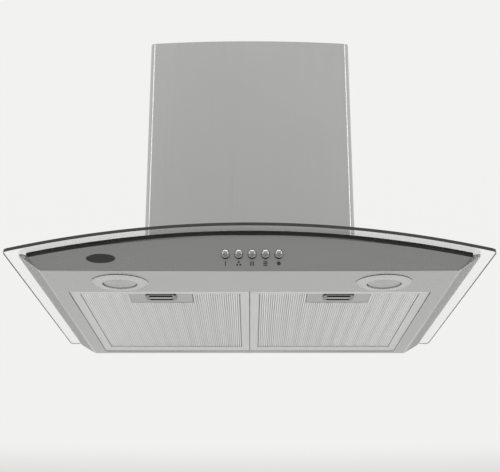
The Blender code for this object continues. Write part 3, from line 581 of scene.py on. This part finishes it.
def glass_pane():
    """Bent pane, trimmed to its plan: rounded corners, and a notch for the flue."""
    half, front, back = GLASS_HIGH.x, GLASS_LOW.y, GLASS_HIGH.y
    over = 0.001
    pane = bent_sheet(
        "glass_pane", -half - over, half + over, front - over, back + over, 0, GLASS_THICKNESS, 128
    )
    corner, rear_corner, notch_corner = 0.006, 0.020, 0.012
    plan = (
        arc(-half + corner, front + corner, corner, 180, 270, 8)
        + arc(half - corner, front + corner, corner, 270, 360, 8)
        + arc(half - rear_corner, back - rear_corner, rear_corner, 0, 90, 12)
        + [(NOTCH_HALF, back)]
        + arc(NOTCH_HALF - notch_corner, NOTCH_FRONT + notch_corner, notch_corner, 0, -90, 8)
        + arc(-NOTCH_HALF + notch_corner, NOTCH_FRONT + notch_corner, notch_corner, 270, 180, 8)
        + [(-NOTCH_HALF, back)]
        + arc(-half + rear_corner, back - rear_corner, rear_corner, 90, 180, 12)
    )
    boolean(pane, prism("glass_plan", [plan], rise(-0.02), rise(0.09)), "INTERSECT")
    bevel(pane, 0.0005)
    piece(pane, "canopy", [GLASS, EDGE_PAINTED_SHADE], ["glass_canopy"])
    # Faces of the front edge take the dark opaque finish, painted shade.
    for face in pane.data.polygons:
        if face.normal.y < -0.6:
            face.material_index = 1


def trim_strip():
    """Dark strip between the panel's top edge and the glass."""
    drop, thickness = 0.0033, 0.0030
    strip = bent_sheet("trim_strip", TRIM_LOW.x, TRIM_HIGH.x, TRIM_LOW.y, TRIM_HIGH.y, drop, thickness)
    bevel(strip, 0.0005, 3)
    piece(strip, "canopy", [TRIM], ["glass_trim"])


# ---- flue covers
def flue_path(half, depth, corner, rear):
    """Plan of a flue cover from its rear left corner round the bowed front to the rear right one."""
    flat = half - corner
    steps = 32
    ks = [-1 + 2 * i / steps for i in range(steps + 1)]
    front = [(flat * k, -depth - CHIMNEY_BOW * (1 - k * k)) for k in ks]
    left = arc(-flat, -depth + corner, corner, 180, 270, 10)
    right = arc(flat, -depth + corner, corner, 270, 360, 10)
    guard = -depth + corner + 0.0006      # keeps the shading of each corner to the corner
    path = [*left[:-1], *front, *right[1:]]
    return [(-half, -rear), (-half, guard), *path, (half, guard), (half, -rear)]


def flue_cover(name, low, high, corner):
    """Folded cover that fills a box, open at the back between its two returns."""
    half = high.x
    depth = -low.y - CHIMNEY_BOW
    back = -high.y
    outer = flue_path(half, depth, corner, back)
    inner = flue_path(half - SHEET, depth - SHEET, corner - SHEET, back + SHEET)
    edge = half - CHIMNEY_RETURN
    heel = [(edge, -back), (edge, -back - SHEET)]
    toe = [(-edge, -back - SHEET), (-edge, -back)]
    return prism(name, [outer + heel + inner[::-1] + toe], low.z, high.z)


def lower_flue_cover():
    """The fixed cover. Its foot follows the top of the glass."""
    spare = 0.02
    low = Vector((CHIMNEY_LOW.x, CHIMNEY_LOW.y, CHIMNEY_LOW.z - spare))
    lower = flue_cover("flue_cover", low, CHIMNEY_HIGH, CHIMNEY_CORNER)
    below = 0.08
    thickness = below + GLASS_THICKNESS + GAP
    boolean(lower, bent_sheet("flue_foot", -0.2, 0.2, -0.3, 0.05, below, thickness, 64))
    for side in SIDES:
        centre = box_centre(f"chimney_screw_{side}")
        across = at(centre.x, centre.y, centre.z) @ turn(90, "Y")
        boolean(lower, prism("screw_hole", [circle(0, 0, 0.0024, 24)], -0.02, 0.02, across))
    piece(lower, "canopy", [FLUE], ["chimney_lower"])


def upper_flue_cover():
    """The sliding cover inside the fixed one."""
    corner = CHIMNEY_CORNER - (CHIMNEY_HIGH.x - UPPER_HIGH.x)
    upper = flue_cover("flue_extension", UPPER_LOW, UPPER_HIGH, corner)
    piece(upper, "chimney_upper", [FLUE], ["chimney_upper"])


# ---- lamps
def lamp_bezel(side):
    """Turned ring: a rounded flange below the deck, and a sleeve up through the hole."""
    low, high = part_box(f"lamp_bezel_{side}")
    radius = (high.x - low.x) / 2
    sleeve = LAMP_HOLE_RADIUS - 0.0008
    inside = sleeve - 0.0022
    bore = LAMP_LENS_RADIUS + 0.0006
    sleeve_top, shelf, seat, rim, face = 0.0090, 0.0016, -0.0004, -0.0006, -0.0035
    slope_width, slope_depth = 0.0075, 0.0029
    slope = [(slope_width * t, slope_depth * math.sin(t * math.pi / 2)) for t in (0, 0.15, 0.35, 0.6, 1)]
    ring = [
        (sleeve, sleeve_top),
        (sleeve, seat),
        (radius, seat),
        *[(radius - inwards, rim - down) for inwards, down in slope],
        (bore + 0.0024, face),
        (bore + 0.0008, face + 0.0003),
        (bore, face + 0.0010),
        (bore, shelf),
        (inside, shelf),
        (inside, sleeve_top),
    ]
    centre = box_centre(f"lamp_bezel_{side}")
    bm = bmesh.new()
    lathe(bm, ring, at(centre.x, centre.y, BOTTOM), 96, ring=True)
    piece(object_from(f"bezel_{side}", bm), "canopy", [BEZEL], [f"lamp_bezel_{side}"])


def lamp_lens(side):
    """Disc with nine fine grooves round its face."""
    radius = LAMP_LENS_RADIUS
    top, face, groove_top, groove_half = 0.0014, -0.0012, -0.0010, 0.0004
    rings = []
    for i in range(1, 10):
        r = radius * i / 10
        rings += [(r - groove_half, face), (r, groove_top), (r + groove_half, face)]
    rim = [(radius, top), (radius, -0.0005), (radius - 0.0008, -0.0011)]
    centre = box_centre(f"lamp_bezel_{side}")
    bm = bmesh.new()
    lathe(bm, [(0, top), *rim, *rings[::-1], (0, -0.0013)], at(centre.x, centre.y, BOTTOM), 96)
    piece(object_from(f"lens_{side}", bm), "canopy", [LENS], [f"lamp_lens_{side}"])


# ---- buttons
def panel_frame(x, height):
    """Frame on the front panel at a rise, with Z out of it and Y up it. The panel leans more at its ends."""
    neck = glass_z(x) - BOTTOM - GAP - LIP_BAND - LIP_FILLET
    lean = math.atan2(BODY_FRONT - PANEL_TOP_FRONT - LIP_STEP, neck)
    y = BODY_FRONT - math.tan(lean) * height
    return at(x, y, rise(height)) @ Matrix.Rotation(math.radians(90) + lean, 4, "X")


def button_profile(radius, length):
    """Domed cap, tapered neck and stem, down from the cap's top at z = 0."""
    steps = 10
    cap = [math.radians(90 * i / steps) for i in range(steps + 1)]
    return [
        *[(radius * math.sin(a), BUTTON_DOME * (math.cos(a) - 1)) for a in cap],
        (radius * 0.975, -BUTTON_DOME - 0.0006),
        (radius * 0.82, -BUTTON_DOME - 0.0020),
        (BUTTON_STEM_RADIUS + 0.0006, -BUTTON_NECK + 0.0010),
        (BUTTON_STEM_RADIUS, -BUTTON_NECK),
        (BUTTON_STEM_RADIUS, -length + 0.0003),
        (BUTTON_STEM_RADIUS - 0.0003, -length),
        (0, -length),
    ]


def button(number):
    low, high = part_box(f"button_{number}")
    centre = (low + high) / 2
    outward = at(centre.x, low.y, centre.z) @ turn(90, "X")
    bm = bmesh.new()
    lathe(bm, button_profile((high.x - low.x) / 2, high.y - low.y), outward, 48)
    knob = object_from(f"push_button_{number}", bm)
    piece(knob, f"button_{number}", [CHROME, NECK_PAINTED_SHADE], [f"button_{number}"])
    # Faces behind the cap take the dark copy of the chrome, painted shade.
    for face in knob.data.polygons:
        if face.center.y > low.y + BUTTON_DOME + 0.0003:
            face.material_index = 1


def bar(x0, y0, x1, y1):
    return rounded(x0, y0, x1, y1, min(x1 - x0, y1 - y0) * 0.45, 4)


def pictograms():
    """Plain dots and bars under the buttons."""
    height = 0.0096
    half, dot = 0.0030, 0.0013
    signs = [
        [bar(-0.0006, -half, 0.0006, half)],
        [circle(x, y, dot, 20) for x, y in ((-0.0019, -0.0014), (0.0019, -0.0014), (0, 0.0018))],
        [bar(-0.0023, -half, -0.0007, half), bar(0.0007, -half, 0.0023, half)],
        [bar(-0.0028, y - 0.0007, 0.0028, y + 0.0007) for y in (-0.0022, 0.0, 0.0022)],
        [circle(0, 0.0002, 0.0025, 28)],
    ]
    for number, shapes in zip(BUTTONS, signs):
        place = panel_frame(box_centre(f"button_{number}").x, height)
        marks = [prism("mark", [shape], -0.0001, 0.00006, place) for shape in shapes]
        piece(joined(f"pictogram_{number}", marks), "canopy", [PRINT])


def badge():
    """Plain oval plate with a raised rim, at the panel's left end."""
    unit = circle(0, 0, 1, 48)
    oval = [(0.0182 * x, 0.0058 * y) for x, y in unit]
    inner = [(0.0128 * x, 0.0034 * y) for x, y in unit]
    place = panel_frame(-0.185, 0.0155)
    eased = 0.0001
    plate = prism("plate", [oval], -0.0012, 0.0006, place, eased)
    rim = prism("rim", [oval, inner], 0.0001, 0.0009, place, eased)
    piece(joined("oval_badge", [plate, rim]), "canopy", [PRINT])


# ---- grease filters
def member(bm, outer, inner, low, high):
    """One side of the frame: a rolled bar between mitred ends. Outer and inner are its long edges."""
    height = high - low
    profile = [             # shares of the bar's width and height
        (0.00, 0.10), (0.03, 0.03), (0.10, 0.00), (0.82, 0.00), (0.93, 0.03), (1.00, 0.12),
        (1.00, 0.45), (0.90, 0.45), (0.90, 0.20), (0.12, 0.20), (0.12, 1.00), (0.00, 1.00),
    ]
    ends = []
    for end in (0, 1):
        start, stop = Vector(outer[end]), Vector(inner[end])
        ends.append([(*start.lerp(stop, u), low + height * w) for u, w in profile])
    loft(bm, ends)


def filter_frame(side):
    """Four mitred bars, and two tongues at the rear."""
    low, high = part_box(f"filter_frame_{side}")
    x0, x1, y0, y1 = low.x, high.x, low.y, FILTER_BACK
    a, b, c, d = x0 + RIM_SIDE, x1 - RIM_SIDE, y0 + RIM_FRONT, y1 - RIM_BACK
    z0, z1 = low.z, low.z + RIM_HEIGHT
    seam = 0.00012      # half the gap at a mitre
    bm = bmesh.new()
    member(bm, ((x0 + seam, y0), (x1 - seam, y0)), ((a + seam, c), (b - seam, c)), z0, z1)
    member(bm, ((x1 - seam, y1), (x0 + seam, y1)), ((b - seam, d), (a + seam, d)), z0, z1)
    member(bm, ((x1, y0 + seam), (x1, y1 - seam)), ((b, c + seam), (b, d - seam)), z0, z1)
    member(bm, ((x0, y1 - seam), (x0, y0 + seam)), ((a, d - seam), (a, c + seam)), z0, z1)
    parts = [object_from("rails", bm)]
    spread, half_width, overlap = 0.075, 0.012, 0.012
    for offset in (-spread, spread):
        x = (x0 + x1) / 2 + offset
        tongue = rounded(x - half_width, y1 - overlap, x + half_width, high.y, 0.0015)
        parts.append(prism("tongue", [tongue], z1 - 0.0010, high.z, edge=EASED))
    rolled = joined(f"rolled_frame_{side}", parts)
    piece(rolled, f"filter_{side}", [ALUMINIUM], [f"filter_frame_{side}"])


def strand(bm, x, front, back, low, phase):
    """One zigzag strand of expanded metal, front to back, tilted a little at each bend."""
    step, width, thickness = 0.0036, 0.0013, 0.0005
    reach, tilt = 0.00030, 0.00010
    high = low + thickness
    count = max(2, round((back - front) / step))
    rings = []
    for i in range(count + 1):
        y = front + (back - front) * i / count
        sign = 1 if (i + phase) % 2 else -1
        left, right = x + sign * reach - width / 2, x + sign * reach + width / 2
        up, down = sign * tilt, -sign * tilt
        under = [(left, y, low + up), (right, y, low + down)]
        over = [(right, y, high + down), (left, y, high + up)]
        rings.append(under + over)
    loft(bm, rings)


def expanded_mesh(side):
    """Strands side by side. Those in line with the latch plate start behind it."""
    low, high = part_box(f"filter_mesh_{side}")
    plate_low, plate_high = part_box(f"latch_plate_{side}")
    pitch = 0.0030
    margin = 0.002
    count = int((high.x - low.x) / pitch) - 1
    spare = (high.x - low.x - count * pitch) / 2
    bm = bmesh.new()
    for i in range(count + 1):
        x = low.x + spare + i * pitch
        inside = plate_low.x - margin < x < plate_high.x + margin
        start = plate_high.y + GAP if inside else low.y
        strand(bm, x, start, high.y, low.z, i % 2)
    sheet = object_from(f"expanded_mesh_{side}", bm)
    piece(sheet, f"filter_{side}", [MESH_METAL], [f"filter_mesh_{side}"])


def filter_pad(side):
    """Ridged pad above the mesh, in three parts that leave room for the latch plate."""
    low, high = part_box(f"filter_mesh_{side}")
    plate_low, plate_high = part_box(f"latch_plate_{side}")
    ridge_pitch, ridge_height = 0.0026, 0.0010
    waves = int((high.x - low.x) / ridge_pitch) * 2
    bottom = low.z + 0.0010
    line = []
    for i in range(waves + 1):
        x = low.x + (high.x - low.x) * i / waves
        line.append((x, bottom + (ridge_height if i % 2 else 0.0)))
    split = plate_high.y + GAP
    spans = [
        (split, high.y, line),
        (low.y, split - 0.0001, [p for p in line if p[0] < plate_low.x - GAP]),
        (low.y, split - 0.0001, [p for p in line if p[0] > plate_high.x + GAP]),
    ]
    bm = bmesh.new()
    for front, back, points in spans:
        outline = [*points, (points[-1][0], high.z), (points[0][0], high.z)]
        loft(bm, [[(x, y, z) for x, z in outline] for y in (front, back)])
    piece(object_from(f"filter_pad_{side}", bm), f"filter_{side}", [PAD_METAL])


def paint_recess_shade(obj, front):
    """Painted shade: black on the upright walls that face forwards behind the given y, where the recess lies
    in shade.
    """
    for face in obj.data.polygons:
        if face.normal.y < -0.3 and face.center.y > front and face.center.z < rise(0.0055):
            face.material_index = 1


def latch_place(side):
    """Middle line and front edge of a latch."""
    low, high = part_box(f"latch_plate_{side}")
    return (low.x + high.x) / 2, low.y + LATCH_INSET


def latch_recess(side):
    """Plate round the latch, with a slot above the latch's windows."""
    low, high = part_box(f"latch_plate_{side}")
    middle, front = latch_place(side)
    x0, x1 = middle - LATCH_WINDOW_HALF, middle + LATCH_WINDOW_HALF
    slot = rounded(x0, front + 0.0015, x1, front + LATCH_DEPTH - 0.0012, 0.003)
    outline = rounded(low.x, low.y, high.x, high.y, 0.0012)
    plate = prism(f"latch_recess_{side}", [outline, slot], low.z, high.z, edge=EASED)
    # The black plastic here is painted shade on the slot's walls.
    finishes = [PLATE_METAL, BLACK_PLASTIC]
    piece(plate, f"filter_{side}", finishes, [f"latch_plate_{side}"])
    paint_recess_shade(plate, front + 0.0010)


def slide_latch(side):
    """Tile with two windows and a grip bar between them, and a stem that carries the bolt."""
    low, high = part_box(f"latch_{side}")
    middle, front = latch_place(side)
    bar_front, bar_back = (front + edge for edge in LATCH_BAR)
    x0, x1 = middle - LATCH_WINDOW_HALF, middle + LATCH_WINDOW_HALF
    half, rim, stem_half, bolt_half = LATCH_WIDTH / 2, 0.0020, 0.008, 0.009
    tile = rounded(middle - half, front, middle + half, front + LATCH_DEPTH, 0.0055)
    windows = [
        rounded(x0, front + rim, x1, bar_front, 0.003),
        rounded(x0, bar_back, x1, front + LATCH_DEPTH - rim, 0.003),
    ]
    stem = rectangle(middle - stem_half, bar_front + 0.0005, middle + stem_half, bar_front + 0.0065)
    bolt = rounded(middle - bolt_half, low.y, middle + bolt_half, bar_front + 0.0070, 0.001)
    tile_thickness, bolt_thickness = 0.0018, 0.0020
    parts = [
        prism("face", [tile, *windows], low.z, low.z + tile_thickness, edge=0.0004),
        prism("stem", [stem], low.z + 0.0010, high.z - 0.0006, edge=EASED),
        prism("bolt", [bolt], high.z - bolt_thickness, high.z, edge=EASED),
    ]
    slide = joined(f"slide_latch_{side}", parts)
    # The black plastic here is painted shade on the windows' walls.
    finishes = [LATCH_METAL, BLACK_PLASTIC, LATCH_FRAME]
    piece(slide, f"latch_{side}", finishes, [f"latch_{side}"])
    bar_half = LATCH_WINDOW_HALF - 0.0012
    for face in slide.data.polygons:
        spot = face.center
        if abs(spot.x - middle) > bar_half or not bar_front - 0.0001 < spot.y < bar_back + 0.0001:
            face.material_index = 2
    paint_recess_shade(slide, front + 0.0010)


# ---- stage, light and camera
# Brightness of the surround by height: 0 is straight down, 0.5 the horizon, 1 straight up.
SURROUND_BEHIND = [(0.0, 0.70), (0.44, 0.70), (0.49, 0.42), (0.52, 0.42), (0.56, 0.88), (1.0, 0.90)]
SURROUND_FRONT = [
    (0.0, 0.12), (0.07, 0.12), (0.15, 0.45), (0.45, 0.46),
    (0.53, 0.43), (0.61, 0.63), (0.70, 0.72), (1.0, 0.88),
]


def floor():
    """Pale floor at the height of a kitchen floor under the hood."""
    level = rise(-1.60)
    half, near, far = 14, -0.6, 16
    corners = [(-half, near, level), (half, near, level), (half, far, level), (-half, far, level)]
    bm = bmesh.new()
    bm.faces.new([bm.verts.new(corner) for corner in corners])
    ground = object_from("floor", bm)
    material, tree, shader = new_material("pale_floor", 0.7)
    mottle = pattern(tree, (1.5, 1.5, 1.5), 2.0)
    colour_between(tree, shader, mottle, (0.80, 0.80, 0.795), (0.83, 0.83, 0.825))
    ground.data.materials.append(material)


def ramp_of(tree, factor, stops):
    """Colour ramp through stops of (position, level), a touch warmer than grey."""
    ramp = tree.nodes.new("ShaderNodeValToRGB")
    elements = ramp.color_ramp.elements
    while len(elements) < len(stops):
        elements.new(0.5)
    for element, (position, level) in zip(elements, stops):
        element.position = position
        element.color = (level, level, level * 0.99, 1)
    tree.links.new(factor, ramp.inputs["Fac"])
    return ramp.outputs["Color"]


def share(tree, value, low, high, interpolation="LINEAR"):
    """How far a value has come from low to high, from 0 to 1."""
    node = tree.nodes.new("ShaderNodeMapRange")
    node.interpolation_type = interpolation
    node.inputs["From Min"].default_value = low
    node.inputs["From Max"].default_value = high
    tree.links.new(value, node.inputs["Value"])
    return node.outputs["Result"]


def studio():
    """Soft surround: pale behind the hood except at the horizon, and dimmer in front and below."""
    world = bpy.data.worlds.new("studio")
    bpy.context.scene.world = world
    world.use_nodes = True
    tree = world.node_tree
    coords = tree.nodes.new("ShaderNodeTexCoord")
    split = tree.nodes.new("ShaderNodeSeparateXYZ")
    tree.links.new(coords.outputs["Generated"], split.inputs["Vector"])
    level = share(tree, split.outputs["Z"], -1.0, 1.0)
    behind = ramp_of(tree, level, SURROUND_BEHIND)
    front = ramp_of(tree, level, SURROUND_FRONT)
    where = share(tree, split.outputs["Y"], -0.60, -0.20, "SMOOTHSTEP")
    mix = tree.nodes.new("ShaderNodeMix")
    mix.data_type = "RGBA"
    tree.links.new(where, mix.inputs["Factor"])
    tree.links.new(front, mix.inputs["A"])
    tree.links.new(behind, mix.inputs["B"])
    background = tree.nodes["Background"]
    tree.links.new(mix.outputs["Result"], background.inputs["Color"])
    background.inputs["Strength"].default_value = 1.0


def area_light(name, place, target, width, height, radiance):
    """A softbox whose brightness is given as seen, so that its size can change without it."""
    data = bpy.data.lights.new(name, "AREA")
    data.shape = "RECTANGLE"
    data.size = width
    data.size_y = height
    data.energy = radiance * width * height * math.pi
    lamp = bpy.data.objects.new(name, data)
    lamp.location = place
    lamp.rotation_euler = (Vector(target) - Vector(place)).to_track_quat("-Z", "Y").to_euler()
    bpy.context.scene.collection.objects.link(lamp)


def lights():
    """Two tall strips that show in the flue's corners, and a box above and one behind."""
    middle = (0, -0.25, 0.05)
    for name, sign in (("strip_left", -1), ("strip_right", 1)):
        area_light(name, (sign * 1.76, -2.28, 0.90), middle, 0.30, 2.2, 3.0)
    area_light("top_box", (0, -1.0, 2.2), (0, -0.3, 0), 2.4, 1.6, 3.0)
    area_light("back_box", (0, 3.2, 2.2), (0, 2.5, -1.5), 5.0, 3.0, 0.3)


def camera():
    """A long lens below the hood, looking up at it from in front."""
    data = bpy.data.cameras.new("camera")
    data.sensor_width = 36.0
    data.lens = 73.3
    eye = bpy.data.objects.new("camera", data)
    eye.location = (0.0004, -1.692, rise(-0.3626))
    eye.rotation_euler = (math.radians(90 + 18.67), 0, 0)
    bpy.context.scene.collection.objects.link(eye)
    bpy.context.scene.camera = eye


def main():
    bpy.context.scene.view_settings.view_transform = "Standard"
    camera()
    studio()
    lights()
    floor()
    finish_nodes()
    canopy_body()
    glass_pane()
    trim_strip()
    lower_flue_cover()
    upper_flue_cover()
    for side in SIDES:
        lamp_bezel(side)
        lamp_lens(side)
    for number in BUTTONS:
        button(number)
    pictograms()
    badge()
    for side in SIDES:
        filter_frame(side)
        expanded_mesh(side)
        filter_pad(side)
        latch_recess(side)
        slide_latch(side)


main()
